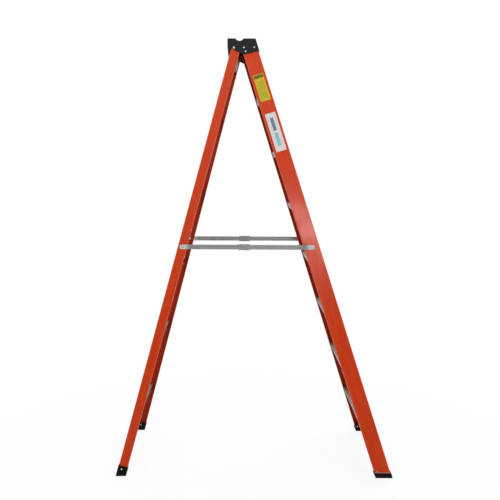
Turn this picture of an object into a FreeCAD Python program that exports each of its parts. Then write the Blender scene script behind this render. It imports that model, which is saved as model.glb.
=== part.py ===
"""Folding step ladder, 8 ft size: channel rails, aluminium steps and a moulded top cap.

Frame: the origin is on the floor under the middle of the ladder, +Z is up and +X is the
side that is climbed. The left side of the ladder is at -Y and the right side mirrors it.
Every size is in millimetres and every angle in degrees.
"""
import FreeCAD, Part
import os

import Sketcher

DIMENSIONS = [
    ("front_base_width", 730.0, "over the front rails at the floor"),
    ("rear_base_width", 715.0, "over the rear rails at the floor"),
    ("top_width", 304.5, "over the rails at their upper ends"),
    ("front_tilt", 17.75, "lean of the front rails from upright"),
    ("rear_tilt", 14.95, "lean of the rear rails from upright"),
    ("front_depth", 82.0, "front rail web"),
    ("front_flange", 28.0, "front rail flange, over the web"),
    ("rear_depth", 48.0, "rear rail web"),
    ("rear_flange", 22.0, "rear rail flange, over the web"),
    ("rail_wall", 4.5, "web and flange thickness"),
    ("rail_corner", 3.0, "outside corner radius of the rails"),
    ("step_count", 7, "steps; one more pitch is the front rail's length"),
    ("step_pitch", 304.8, "floor to first tread and tread to tread, along the front rails"),
    ("step_skirt", 30.0, "height of the step's skirts"),
    ("step_wall", 2.5, "step thickness"),
    ("groove_count", 9, "grip grooves in a tread"),
    ("groove_width", 3.0, "one grip groove"),
    ("groove_depth", 0.9, "one grip groove"),
    ("end_gap", 0.6, "between the end of a step or brace and the web"),
    ("brace_count", 5, "evenly spaced rear braces"),
    ("first_brace", 326.0, "floor to the top of the first brace, along the rear rails"),
    ("brace_pitch", 422.5, "brace to brace, along the rear rails"),
    ("top_brace_drop", 30.0, "fold pivot down to the top of the uppermost brace"),
    ("top_brace_height", 54.0, "uppermost rear brace, a box section"),
    ("brace_height", 40.0, "rear brace"),
    ("brace_depth", 24.0, "rear brace"),
    ("brace_wall", 2.0, "rear brace thickness"),
    ("cap_deck", 5.0, "thickness of the cap's deck"),
    ("cap_wall", 4.0, "thickness of the cap's walls"),
    ("cap_top_gap", 14.0, "between the front rails' upper ends and the cap's deck"),
    ("cap_front_gap", 1.0, "between the cap's front wall and the front rails"),
    ("cap_side_gap", 0.8, "between the cap's side wall and the widest point of the rails"),
    ("cap_front_drop", 64.0, "height of the cap's front wall"),
    ("cap_mid_drop", 84.0, "height of the cap's side wall at its lowest point"),
    ("cap_rear_drop", 86.0, "height of the cap's rear wall"),
    ("cap_rear_bend", 40.0, "top of the cap to the bend in its rear wall"),
    ("cap_arch_drop", 50.0, "top of the cap to the side wall's edge over the rear rail"),
    ("cap_rear_overhang", 35.0, "fold pivot to the back of the cap"),
    ("cap_rear_gap", 2.4, "between the cap's rear wall and the rear rails"),
    ("cap_mid_setback", 1.0, "back of the front rail to the side wall's lowest point"),
    ("cap_corner", 6.0, "rounding of the cap's upright corners"),
    ("cap_edge", 2.0, "rounding round the top of the cap"),
    ("notch_radius", 24.0, "pipe notch across the cap"),
    ("notch_depth", 13.0, "pipe notch across the cap"),
    ("notch_setback", 86.0, "cap's front top edge to the middle of the notch"),
    ("pivot_drop", 49.0, "top of the cap to the fold pivot"),
    ("pivot_inset", 14.0, "rear edge of the rear rail to the fold pivot"),
    ("pivot_overrun", 16.0, "rear rail above the fold pivot"),
    ("fold_gap", 3.6, "between the front and rear rails when the ladder is shut"),
    ("pivot_radius", 4.0, "fold pin"),
    ("pivot_head", 5.5, "radius of the fold pin's head"),
    ("pivot_side_gap", 0.4, "fold pin's tail to the rear rail"),
    ("spreader_height", 1229.0, "floor to the spreaders"),
    ("spreader_joint", 58.0, "middle of the ladder back to the spreaders' mid joint"),
    ("bar_height", 25.0, "spreader bar"),
    ("bar_wall", 3.0, "spreader bar thickness"),
    ("bar_end", 14.0, "spreader bar past its pivot"),
    ("bar_plane", 4.0, "front rail's web out to the inner spreader bar"),
    ("bar_gap", 0.5, "between the two crossing spreader bars"),
    ("joggle_start", 16.0, "pivot to the start of the joggle"),
    ("joggle_length", 30.0, "joggle of a spreader bar, along the bar"),
    ("knuckle_height", 32.0, "spreader bar round its mid joint"),
    ("knuckle_length", 50.0, "wide end of a spreader bar"),
    ("knuckle_slope", 4.0, "bar widening to its knuckle, along the bar"),
    ("bar_corner", 10.0, "rounding of a spreader bar's ends"),
    ("spacer_radius", 8.0, "spacer behind a spreader's tab"),
    ("spacer_width", 2.2, "rail to tab"),
    ("pin_radius", 3.0, "spreader pins"),
    ("pin_head", 6.5, "radius of a spreader pin's head"),
    ("pin_side_gap", 0.7, "spreader pin's tail to the sloping web"),
    ("fit_gap", 0.05, "radial clearance round every rivet and pin"),
    ("rivet_radius", 2.4, "rivets"),
    ("rivet_head", 4.6, "radius of a rivet's head"),
    ("tail_share", 0.8, "radius of a tail, as a share of its head's"),
    ("rivet_rise", 1.8, "height of a rivet's head"),
    ("dimple_share", 0.28, "radius of the dimple in a head, as a share of the head's"),
    ("dimple_floor", 0.6, "left of a head under its dimple"),
    ("rivet_inset", 17.0, "outer face of the web to a step's rivets"),
    ("rivet_upper", 9.0, "tread down to the upper rivets"),
    ("rivet_lower", 21.0, "tread down to the lower rivets"),
    ("brace_rivet_inset", 13.0, "outer face of the web to a brace's rivets"),
    ("brace_rivet_margin", 12.0, "edge of a brace to its rivets"),
    ("cap_rivet_gap", 0.2, "cap's side wall to a rivet's head"),
    ("sole_height", 24.0, "front foot under the rail"),
    ("sole_toe_rise", 6.0, "slope of the sole's toe, from floor to rail"),
    ("sole_heel_cut", 11.0, "slope of the sole's heel, from floor to rail"),
    ("sole_lip", 5.0, "sole beyond the web and behind the rail"),
    ("sole_width", 34.0, "front foot, across"),
    ("plug_height", 47.0, "floor to the top of the part of the foot in the rail"),
    ("plug_gap", 0.3, "between the foot and the inside of the rail"),
    ("foot_rivet_inset", 12.0, "inside of the rear flange to the foot's rivet"),
    ("foot_rivet_height", 32.0, "floor to the foot's rivet"),
    ("boot_height", 62.0, "rear boot, along the rail"),
    ("boot_wall", 2.5, "rear boot"),
    ("boot_floor", 12.0, "rear boot under the rail"),
    ("boot_gap", 0.2, "between the boot and the rail"),
    ("boot_corner", 5.0, "rounding of the boot's upright corners"),
    ("boot_edge", 4.0, "rounding round the bottom of the boot"),
    ("boot_rivet_inset", 19.0, "rear edge of the rear rail to the boot's rivet"),
    ("boot_rivet_height", 38.0, "floor to the boot's rivet"),
    ("overcut", 1.1, "reach of a cutting shape, as a share of what it cuts"),
    ("label_wall", 0.3, "thickness of a label"),
    ("upper_label_drop", 166.0, "front rail's upper end to the top of the upper label"),
    ("upper_label_length", 145.0, "upper label"),
    ("upper_label_width", 55.0, "upper label"),
    ("lower_label_drop", 381.0, "front rail's upper end to the top of the lower label"),
    ("lower_label_length", 210.0, "lower label"),
    ("lower_label_width", 57.0, "lower label"),
]

# Where the cap's rivets go through a front rail: back from the rail's front edge, and
# down from its upper end.
CAP_RIVETS = [(69.0, 8.5), (16.0, 24.0), (66.0, 31.0)]

NO_TURN = "rotation(vector(0; 0; 1); 0)"
HALF_TURN = "rotation(vector(1; 0; 0); 180)"
INWARD = "rotation(vector(1; 0; 0); -90)"
BACKWARD = "rotation(vector(0; 1; 0); -90)"
FORWARD = "rotation(vector(0; 1; 0); 90)"

doc = FreeCAD.newDocument("step_ladder")
nodes = []


# ---------------------------------------------------------------- document helpers

def write_sheet():
    """Put every driving dimension in a row: its name, its value and what it is."""
    sheet = doc.addObject("Spreadsheet::Sheet", "dims")
    for row, (alias, value, note) in enumerate(DIMENSIONS, start=1):
        sheet.set(f"A{row}", alias)
        sheet.set(f"B{row}", str(value))
        sheet.set(f"C{row}", note)
        sheet.setAlias(f"B{row}", alias)
    doc.recompute()
    return sheet


def worked_out(kind, name, expression):
    """Add a value that follows from the sheet, such as a splay or a rail's own frame."""
    geo.addProperty(kind, name)
    geo.setExpression(name, expression)


def value(expression):
    """The number that an expression of the sheet comes to."""
    result = geo.evalExpression(str(expression))
    return float(getattr(result, "Value", result))


def at(x, y, z, turn=NO_TURN):
    """Placement expression with its origin at x, y, z."""
    return f"placement(vector({x}; {y}; {z}); {turn})"


def about(x, y, z, angle):
    """Rotation expression about the axis x, y, z."""
    return f"rotation(vector({x}; {y}; {z}); {angle})"


def bind(item, **expressions):
    """Bind properties of an object to expressions of the sheet."""
    for name, expression in expressions.items():
        item.setExpression(name, str(expression))
    return item


def node(label, item):
    """Name a finished sub-part after its node."""
    item.Label = label
    nodes.append(item)
    return item


def plane_of(body, role):
    """One of the body's own origin planes or axes."""
    return next(item for item in body.Origin.OriginFeatures if item.Role == role)


def outline(body, name, role, points):
    """Closed polygon on an origin plane, each corner held at two bound coordinates."""
    sketch = body.newObject("Sketcher::SketchObject", name)
    sketch.AttachmentSupport = [(plane_of(body, role), "")]
    sketch.MapMode = "FlatFace"
    corners = [FreeCAD.Vector(value(x), value(y), 0) for x, y in points]
    for index, corner in enumerate(corners):
        following = corners[(index + 1) % len(corners)]
        sketch.addGeometry(Part.LineSegment(corner, following), False)
    for index in range(len(corners)):
        sketch.addConstraint(Sketcher.Constraint(
            "Coincident", index, 2, (index + 1) % len(corners), 1))
    for index, (corner, point) in enumerate(zip(corners, points)):
        for kind, number, expression in (("DistanceX", corner.x, point[0]),
                                         ("DistanceY", corner.y, point[1])):
            place = sketch.addConstraint(Sketcher.Constraint(kind, index, 1, number))
            sketch.setExpression(f"Constraints[{place}]", str(expression))
    return sketch


def prism(name, role, points, length, place, side="One side", away=False):
    """Body with one outline padded square to its plane."""
    body = bind(doc.addObject("PartDesign::Body", name), Placement=place)
    sketch = outline(body, f"{name}_outline", role, points)
    pad = body.newObject("PartDesign::Pad", f"{name}_pad")
    pad.Profile = sketch
    pad.SideType = side
    pad.Reversed = away
    bind(pad, Length=length)
    body.Tip = pad
    doc.recompute()
    return body


def round_edges(body, name, radius, chosen):
    """Fillet the tip's edges that the test picks out."""
    base = body.Tip
    names = [f"Edge{number}" for number, edge in enumerate(base.Shape.Edges, start=1)
             if chosen(edge)]
    fillet = body.newObject("PartDesign::Fillet", name)
    fillet.Base = (base, names)
    bind(fillet, Radius=radius)
    body.Tip = fillet
    doc.recompute()


def box(name, place, length, width, height):
    """Box from its own corner along its own axes."""
    return bind(doc.addObject("Part::Box", name), Length=length, Width=width,
                Height=height, Placement=place)


def cylinder(name, place, radius, height):
    """Cylinder along its own Z from its own origin."""
    return bind(doc.addObject("Part::Cylinder", name), Radius=radius, Height=height,
                Placement=place)


def group(name, items):
    """Separate solids as one object."""
    compound = doc.addObject("Part::Compound", name)
    compound.Links = items
    return compound


def boolean(kind, name, base, tool):
    """Part::Cut, Part::Common or Part::Fuse of two objects."""
    result = doc.addObject(kind, name)
    result.Base = base
    result.Tool = tool
    return result


def eased(name, solid, radius_of):
    """Fillet each edge of a solid that the function gives a radius for."""
    doc.recompute()
    chosen = []
    for number, edge in enumerate(solid.Shape.Edges, start=1):
        radius = radius_of(edge)
        if radius:
            chosen.append((number, value(radius), value(radius)))
    fillet = doc.addObject("Part::Fillet", name)
    fillet.Base = solid
    fillet.Edges = chosen
    return fillet


def mirrored(name, item):
    """The same piece on the other side of the ladder."""
    mirror = doc.addObject("Part::Mirroring", name)
    mirror.Source = item
    mirror.Normal = (0, 1, 0)
    return mirror


def both_sides(stem, item):
    """Name the left piece and add its mirror image on the right."""
    node(f"{stem}_left", item)
    node(f"{stem}_right", mirrored(f"{stem}_mirror", item))


def dome(name, radius, rise, place):
    """Low round cap of a sphere, flat side at its own Z = 0."""
    ball = f"(({radius})^2 + ({rise})^2) / (2 * ({rise}))"
    sphere = doc.addObject("Part::Sphere", name)
    return bind(sphere, Radius=ball, Angle1=f"asin(({ball} - ({rise})) / ({ball}))",
                Placement=f"{place} * {at(0, 0, f'({rise}) - ({ball})')}")


def rivet(name, place, grip, radius="dims.rivet_radius", head="dims.rivet_head",
          rise="dims.rivet_rise", tail=True):
    """Rivet along its own +Z: the head's flat seat is at 0 and the tail's at the grip."""
    full = dome(f"{name}_full_head", head, rise, f"{place} * {at(0, 0, 0, HALF_TURN)}")
    dimple = cylinder(f"{name}_dimple", f"{place} * {at(0, 0, f'-2 * ({rise})')}",
                      f"({head}) * dims.dimple_share", f"2 * ({rise}) - dims.dimple_floor")
    pieces = [cylinder(f"{name}_shank", place, radius, grip),
              boolean("Part::Cut", f"{name}_head", full, dimple)]
    if tail:
        pieces.append(dome(f"{name}_tail", f"({head}) * dims.tail_share", rise,
                           f"{place} * {at(0, 0, grip)}"))
    fused = doc.addObject("Part::MultiFuse", name)
    fused.Shapes = pieces
    return fused


def hole(name, place, grip, radius="dims.rivet_radius"):
    """Tool for the hole that a rivet or pin of that grip passes through."""
    start = at(0, 0, "-dims.rivet_rise")
    return cylinder(name, f"{place} * {start}", f"{radius} + dims.fit_gap",
                    f"{grip} + 2 * dims.rivet_rise")


# ---------------------------------------------------------------- where things are

write_sheet()
geo = doc.addObject("App::VarSet", "geo")
FLOAT = "App::PropertyFloat"
PLACE = "App::PropertyPlacement"

worked_out(FLOAT, "rail_length", "(dims.step_count + 1) * dims.step_pitch")
worked_out(FLOAT, "front_splay", "asin((dims.front_base_width - dims.top_width) / 2"
           " / geo.rail_length) / 1 deg")
worked_out(FLOAT, "rail_top", "geo.rail_length * cos(dims.front_tilt) * cos(geo.front_splay)")
worked_out(FLOAT, "top_height", "geo.rail_top + dims.cap_top_gap + dims.cap_deck")
worked_out(FLOAT, "rear_splay", "atan((dims.rear_base_width - dims.top_width) / 2"
           " * cos(dims.rear_tilt) / geo.rail_top) / 1 deg")
worked_out(FLOAT, "pivot_z", "geo.top_height - dims.pivot_drop")

# Half the spread at the floor. It leaves the fold gap between the rails when the rear frame
# has swung forward about the fold pivot until the rails are parallel.
worked_out(FLOAT, "base_reach", "(geo.pivot_z * tan(dims.rear_tilt)"
           " + dims.pivot_inset / cos(dims.rear_tilt) + (geo.pivot_z * sin(dims.front_tilt)"
           " + dims.front_depth + dims.fold_gap + dims.rear_depth - dims.pivot_inset)"
           " / cos(dims.front_tilt)) / 2")
doc.recompute()

# A side frame lies in the ladder's middle plane with its Z along the rails; a rail frame
# is at the outer corner of the left rail and leans in with it. X crosses the web.
worked_out(PLACE, "front_side", at("geo.base_reach", 0, 0, about(0, 1, 0, "-dims.front_tilt")))
worked_out(PLACE, "rear_side", at("-geo.base_reach", 0, 0, about(0, 1, 0, "dims.rear_tilt")))
worked_out(PLACE, "front_rail", f"{at('geo.base_reach', '-dims.front_base_width / 2', 0)} * "
           f"{at(0, 0, 0, about(0, 1, 0, '-dims.front_tilt'))} * "
           f"{at(0, 0, 0, about(1, 0, 0, '-geo.front_splay'))}")
worked_out(PLACE, "rear_rail", f"{at('-geo.base_reach', '-dims.rear_base_width / 2', 0)} * "
           f"{at(0, 0, 0, about(0, 1, 0, 'dims.rear_tilt'))} * "
           f"{at(0, 0, 0, about(1, 0, 0, '-geo.rear_splay'))}")

worked_out(FLOAT, "pivot_x", "-geo.base_reach + geo.pivot_z * tan(dims.rear_tilt)"
           " + dims.pivot_inset / cos(dims.rear_tilt)")
worked_out(FLOAT, "pivot_along", "((geo.pivot_x + geo.base_reach) * sin(dims.rear_tilt)"
           " + geo.pivot_z * cos(dims.rear_tilt)) / cos(geo.rear_splay)")
worked_out(FLOAT, "front_pin_x", "geo.base_reach - dims.front_depth / 2"
           " / cos(dims.front_tilt) - dims.spreader_height * tan(dims.front_tilt)")
worked_out(FLOAT, "rear_pin_x", "-geo.base_reach + dims.rear_depth / 2"
           " / cos(dims.rear_tilt) + dims.spreader_height * tan(dims.rear_tilt)")
worked_out(FLOAT, "cap_front_x", "geo.base_reach + (dims.cap_front_gap + dims.cap_wall)"
           " / cos(dims.front_tilt) - (geo.top_height - dims.cap_front_drop)"
           " * tan(dims.front_tilt)")
doc.recompute()


def front_web(x, z):
    """Outer half width of the front rails' webs at x, z."""
    along = f"((geo.base_reach - ({x})) * sin(dims.front_tilt) + ({z}) * cos(dims.front_tilt))"
    return f"(dims.front_base_width / 2 - tan(geo.front_splay) * {along})"


def rear_web(x, z):
    """Outer half width of the rear rails' webs at x, z."""
    along = f"((({x}) + geo.base_reach) * sin(dims.rear_tilt) + ({z}) * cos(dims.rear_tilt))"
    return f"(dims.rear_base_width / 2 - tan(geo.rear_splay) * {along})"


def behind_front(depth, z):
    """World x at height z of a plane that far behind the front of the front rails."""
    return f"(geo.base_reach - ({depth}) / cos(dims.front_tilt) - ({z}) * tan(dims.front_tilt))"


def cheek(z, out):
    """Half width at height z of the cap's side wall, a distance out from its inner face."""
    return f"({front_web('geo.cap_front_x', z)} + dims.cap_side_gap + {out})"


# ---------------------------------------------------------------- rails

def channel(name, frame, near, far, flange, length):
    """C section with its web outside and its flanges pointing across the ladder."""
    wall = "dims.rail_wall"
    points = [(near, 0), (far, 0), (far, flange), (f"{far} - {wall}", flange),
              (f"{far} - {wall}", wall), (f"{near} + {wall}", wall),
              (f"{near} + {wall}", flange), (near, flange)]
    body = prism(name, "XY_Plane", points, length, frame)
    corners = [(value(near), 0.0), (value(far), 0.0)]

    def outside_corner(edge):
        ends = [vertex.Point for vertex in edge.Vertexes]
        return any(all(abs(end.x - x) + abs(end.y - y) < 0.01 for end in ends)
                   for x, y in corners)

    round_edges(body, f"{name}_corners", "dims.rail_corner", outside_corner)
    return body


def below(name, height):
    """Everything from far under the floor up to that height."""
    side = "(dims.overcut * geo.top_height)"
    return box(name, at(f"-{side} / 2", f"-{side} / 2", f"{height} - {side}"), side, side, side)


front_channel = channel("front_channel", "geo.front_rail", "-dims.front_depth", "0",
                        "dims.front_flange", "geo.rail_length")
rear_channel = channel("rear_channel", "geo.rear_rail", "0", "dims.rear_depth",
                       "dims.rear_flange", "geo.pivot_along + dims.pivot_overrun")
floor_space = below("floor_space", "0")
under_front_rail = below("under_front_rail", "dims.sole_height")
under_rear_rail = below("under_rear_rail", "dims.boot_floor")
front_holes = [under_front_rail]
rear_holes = [under_rear_rail]


# ---------------------------------------------------------------- steps

def inside_rails(name, frame, width, splay, depth):
    """Wedge of space between the webs of a pair of rails."""
    low, high = "0", "(dims.overcut * geo.top_height)"

    def half(along):
        return (f"({width} / 2 - (dims.rail_wall + dims.end_gap) / cos({splay})"
                f" - ({along}) * tan({splay}))")

    points = [(f"-{half(low)}", low), (half(low), low), (half(high), high),
              (f"-{half(high)}", high)]
    return prism(name, "YZ_Plane", points, f"2 * dims.overcut * {depth}", frame, side="Symmetric")


def step_blank(name, along):
    """One step, longer than it needs to be: a level tread between two leaning skirts."""
    def across(depth, drop):
        return f"(-({depth}) / cos(dims.front_tilt) + ({drop}) * tan(dims.front_tilt))"

    front, back = "dims.rail_wall", "(dims.front_depth - dims.rail_wall)"
    wall, skirt = "dims.step_wall", "dims.step_skirt"
    path = [(front, "0"), (front, skirt), (f"{front} + {wall}", skirt),
            (f"{front} + {wall}", wall), (f"{back} - {wall}", wall),
            (f"{back} - {wall}", skirt), (back, skirt), (back, "0")]
    points = [(across(depth, drop), f"-({drop})") for depth, drop in path]
    place = at(f"geo.base_reach - ({along}) * sin(dims.front_tilt)", 0,
               f"({along}) * cos(dims.front_tilt)")
    body = prism(name, "XZ_Plane", points, "dims.front_base_width", place, side="Symmetric")
    cut_grooves(body, name, across)
    return body


def cut_grooves(body, name, across):
    """Grip grooves along the tread, evenly spaced between its skirts."""
    pitch = ("((dims.front_depth - 2 * dims.rail_wall) / cos(dims.front_tilt)"
             " / (dims.groove_count + 1))")
    first = f"({across('dims.front_depth - dims.rail_wall', '0')} + {pitch})"
    edges = (f"{first} - dims.groove_width / 2", f"{first} + dims.groove_width / 2")
    points = [(edges[0], "-dims.groove_depth"), (edges[1], "-dims.groove_depth"),
              (edges[1], "dims.groove_depth"), (edges[0], "dims.groove_depth")]
    sketch = outline(body, f"{name}_groove_outline", "XZ_Plane", points)
    pocket = body.newObject("PartDesign::Pocket", f"{name}_groove")
    pocket.Profile = sketch
    pocket.SideType = "Symmetric"
    bind(pocket, Length="dims.overcut * dims.front_base_width")
    body.Tip = pocket
    doc.recompute()
    pattern = body.newObject("PartDesign::LinearPattern", f"{name}_grooves")
    pattern.Originals = [pocket]
    pattern.Direction = (plane_of(body, "X_Axis"), [""])
    bind(pattern, Occurrences="dims.groove_count", Length=f"{pitch} * (dims.groove_count - 1)")
    body.Tip = pattern
    doc.recompute()


def step_rivets(number, along):
    """Rivets through both flanges of the left rail and the skirts at one end of a step."""
    faces = [("front", "0", "dims.rail_wall", BACKWARD),
             ("back", "-dims.front_depth", "dims.front_depth - dims.rail_wall", FORWARD)]
    rivets, tools = [], []
    for side, face, depth, turn in faces:
        for row in ("upper", "lower"):
            rise = (f"(({along}) + ({depth}) * tan(dims.front_tilt)"
                    f" - dims.rivet_{row} / cos(dims.front_tilt)"
                    " + dims.rivet_inset * sin(geo.front_splay)) / cos(geo.front_splay)")
            place = f"geo.front_rail * {at(face, 'dims.rivet_inset', rise, turn)}"
            name = f"step_{number}_{side}_{row}"
            grip = "dims.rail_wall + dims.step_wall"
            rivets.append(rivet(f"{name}_rivet", place, grip))
            tools.append(hole(f"{name}_hole", place, grip))
    return rivets, tools


def drilled(name, item, tools):
    """A piece that spans both rails, drilled at both ends."""
    left = group(f"{name}_holes", tools)
    both = group(f"{name}_all_holes", [left, mirrored(f"{name}_far_holes", left)])
    return boolean("Part::Cut", f"{name}_drilled", item, both)


def make_steps():
    between = inside_rails("between_front_rails", "geo.front_side", "dims.front_base_width",
                           "geo.front_splay", "dims.front_depth")
    rivets = []
    for number in range(1, round(value("dims.step_count")) + 1):
        along = f"{number} * dims.step_pitch"
        blank = step_blank(f"step_{number}_blank", along)
        fitted = boolean("Part::Common", f"step_{number}_fitted", blank, between)
        pieces, tools = step_rivets(number, along)
        node(f"step_{number}", drilled(f"step_{number}", fitted, tools))
        rivets += pieces
        front_holes.extend(tools)
    both_sides("step_rivets", group("step_rivets", rivets))


# ---------------------------------------------------------------- rear braces

def brace_blank(name, along):
    """Channel across the rear rails, open towards the steps, its web on the rear flange."""
    back, wall = "dims.rail_wall", "dims.brace_wall"
    reach = f"{back} + dims.brace_depth"
    top, foot = f"({along})", f"(({along}) - dims.brace_height)"
    points = [(back, top), (reach, top), (reach, f"{top} - {wall}"),
              (f"{back} + {wall}", f"{top} - {wall}"), (f"{back} + {wall}", f"{foot} + {wall}"),
              (reach, f"{foot} + {wall}"), (reach, foot), (back, foot)]
    return prism(name, "XZ_Plane", points, "dims.rear_base_width", "geo.rear_side",
                 side="Symmetric")


def top_brace_blank(name, along):
    """Box section across the rear rails that fills them from flange to flange."""
    def section(part, margin, length):
        back, front = f"(dims.rail_wall + {margin})", f"(dims.rear_depth - dims.rail_wall - {margin})"
        top, foot = f"({along} - {margin})", f"({along} - dims.top_brace_height + {margin})"
        points = [(back, top), (front, top), (front, foot), (back, foot)]
        return prism(f"{name}_{part}", "XZ_Plane", points, length, "geo.rear_side",
                     side="Symmetric")

    return boolean("Part::Cut", name, section("outside", "0", "dims.rear_base_width"),
                   section("inside", "dims.brace_wall", "dims.overcut * dims.rear_base_width"))


def brace_rivets(number, along, height):
    """Rivets through the left rear rail's rear flange and one end of a brace."""
    rivets, tools = [], []
    for row, drop in (("upper", "dims.brace_rivet_margin"),
                      ("lower", f"({height} - dims.brace_rivet_margin)")):
        rise = (f"(({along}) - {drop} + dims.brace_rivet_inset * sin(geo.rear_splay))"
                " / cos(geo.rear_splay)")
        place = f"geo.rear_rail * {at(0, 'dims.brace_rivet_inset', rise, FORWARD)}"
        grip = "dims.rail_wall + dims.brace_wall"
        name = f"brace_{number}_{row}"
        rivets.append(rivet(f"{name}_rivet", place, grip))
        tools.append(hole(f"{name}_hole", place, grip))
    return rivets, tools


def make_braces():
    between = inside_rails("between_rear_rails", "geo.rear_side", "dims.rear_base_width",
                           "geo.rear_splay", "dims.rear_depth")
    count = round(value("dims.brace_count"))
    braces = [(f"dims.first_brace + {index} * dims.brace_pitch", "dims.brace_height")
              for index in range(count)]
    rivets = []
    top = "geo.pivot_along * cos(geo.rear_splay) - dims.top_brace_drop"
    braces.append((top, "dims.top_brace_height"))
    for number, (along, height) in enumerate(braces, start=1):
        make_blank = top_brace_blank if along == top else brace_blank
        blank = make_blank(f"brace_{number}_blank", along)
        fitted = boolean("Part::Common", f"brace_{number}_fitted", blank, between)
        pieces, tools = brace_rivets(number, along, height)
        node(f"rear_brace_{number}", drilled(f"brace_{number}", fitted, tools))
        rivets += pieces
        rear_holes.extend(tools)
    both_sides("brace_rivets", group("brace_rivets", rivets))


# ---------------------------------------------------------------- top cap

def cap_height(drop):
    """World z at that drop below the top of the cap."""
    return f"(geo.top_height - {drop})"


def beside_rear_rail(z):
    """World x of the inside of the cap's rear wall where it follows the rear rails."""
    return (f"(-geo.base_reach + ({z}) * tan(dims.rear_tilt)"
            " - dims.cap_rear_gap / cos(dims.rear_tilt))")


def cap_side():
    """Side view of the cap: its side walls are cut away over both pairs of rails."""
    front, back = "(-dims.cap_front_gap - dims.cap_wall)", "(geo.pivot_x - dims.cap_rear_overhang)"
    top, bend = cap_height("0"), cap_height("dims.cap_rear_bend")
    low_front, low_mid = cap_height("dims.cap_front_drop"), cap_height("dims.cap_mid_drop")
    arch, low_back = cap_height("dims.cap_arch_drop"), cap_height("dims.cap_rear_drop")
    mid = f"({behind_front('dims.front_depth', low_mid)} - dims.cap_mid_setback)"
    points = [(back, top), (behind_front(front, top), top),
              (behind_front(front, low_front), low_front), (mid, low_mid),
              (beside_rear_rail(arch), arch), (beside_rear_rail(low_back), low_back),
              (f"{beside_rear_rail(low_back)} - dims.cap_wall", low_back), (back, bend)]
    return prism("cap_side", "XZ_Plane", points, "dims.front_base_width", at(0, 0, 0),
                 side="Symmetric")


def cap_room_side():
    """Side view of the room inside the cap, carried on down through its open bottom."""
    front, wall = "(-dims.cap_front_gap)", "dims.cap_wall"
    back = f"(geo.pivot_x - dims.cap_rear_overhang + {wall})"
    top, bend = cap_height("dims.cap_deck"), cap_height("dims.cap_rear_bend")
    rim, under = cap_height("dims.cap_rear_drop"), cap_height("2 * dims.cap_mid_drop")
    points = [(back, top), (behind_front(front, top), top), (behind_front(front, under), under),
              (beside_rear_rail(rim), under), (beside_rear_rail(rim), rim), (back, bend)]
    return prism("cap_room_side", "XZ_Plane", points, "dims.front_base_width", at(0, 0, 0),
                 side="Symmetric")


def cap_ends(name, out):
    """End view of the cap, out to a distance from the inner faces of its side walls."""
    low, high = cap_height("2 * dims.cap_mid_drop"), "geo.top_height"
    points = [(f"-{cheek(low, out)}", low), (cheek(low, out), low),
              (cheek(high, out), high), (f"-{cheek(high, out)}", high)]
    return prism(name, "YZ_Plane", points, "2 * geo.base_reach", at(0, 0, 0),
                 side="Symmetric")


def notch(name, radius):
    """Cylinder across the cap that leaves the pipe notch, or the deck under it."""
    x = f"({behind_front('-dims.cap_front_gap - dims.cap_wall', 'geo.top_height')}"
    x += " - dims.notch_setback)"
    z = "(geo.top_height - dims.notch_depth + dims.notch_radius)"
    place = at(x, "-dims.front_base_width / 2", z, INWARD)
    return cylinder(name, place, radius, "dims.front_base_width")


def cap_rivets():
    """Rivets through the cap's side wall and the web of the left front rail."""
    rivets, tools = [], []
    for number, (back, down) in enumerate(CAP_RIVETS, start=1):
        along = f"(geo.rail_length - {down})"
        x = (f"(geo.base_reach - {back} * cos(dims.front_tilt)"
             f" - {along} * cos(geo.front_splay) * sin(dims.front_tilt))")
        seat = (f"((dims.cap_side_gap + (geo.cap_front_x - {x}) * tan(geo.front_splay)"
                " * sin(dims.front_tilt) + dims.cap_wall) * cos(geo.front_splay)"
                " + dims.cap_rivet_gap)")
        place = f"geo.front_rail * {at(-back, f'-{seat}', along, INWARD)}"
        grip = f"({seat} + dims.rail_wall)"
        rivets.append(rivet(f"cap_rivet_{number}", place, grip))
        tools.append(hole(f"cap_hole_{number}", place, grip))
    front_holes.extend(tools)
    return rivets, tools


def fold_pin():
    """Pin of the fold, straight across through the cap's side wall and the rear rail."""
    seat = cheek("geo.pivot_z - dims.pivot_head", "dims.cap_wall")
    inner = (f"({rear_web('geo.pivot_x', 'geo.pivot_z + dims.pivot_head')}"
             " - dims.rail_wall / cos(geo.rear_splay) - dims.pivot_side_gap)")
    place = at("geo.pivot_x", f"-({seat} + dims.fit_gap)", "geo.pivot_z", INWARD)
    grip = f"({seat} + dims.fit_gap - {inner})"
    tool = hole("fold_hole", place, grip, "dims.pivot_radius")
    rear_holes.append(tool)
    return rivet("fold_pin", place, grip, "dims.pivot_radius", "dims.pivot_head"), tool


def make_cap():
    pieces, tools = cap_rivets()
    pin, pin_hole = fold_pin()
    outside = boolean("Part::Common", "cap_outside", cap_side(),
                      cap_ends("cap_ends", "dims.cap_wall"))
    doc.recompute()
    rounded = eased("cap_rounded", outside, cap_rounding)
    room = boolean("Part::Common", "cap_room", cap_room_side(), cap_ends("cap_room_ends", "0"))
    inside = boolean("Part::Cut", "cap_inside", room,
                     notch("under_notch", "dims.notch_radius + dims.cap_deck"))
    tray = boolean("Part::Cut", "cap_tray", rounded, inside)
    notched = boolean("Part::Cut", "cap_notched", tray, notch("pipe_notch", "dims.notch_radius"))
    node("top_cap", drilled("top_cap", notched, tools + [pin_hole]))
    both_sides("cap_rivets", group("cap_rivets", pieces))
    both_sides("fold_pin", pin)


def cap_rounding(edge):
    """Radius for the cap's upright corners and for the edge round its deck."""
    top = value("geo.top_height")
    on_deck = [abs(vertex.Point.z - top) < 0.01 for vertex in edge.Vertexes]
    if all(on_deck):
        return "dims.cap_edge"
    return "dims.cap_corner" if any(on_deck) else None


# ---------------------------------------------------------------- feet

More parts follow.
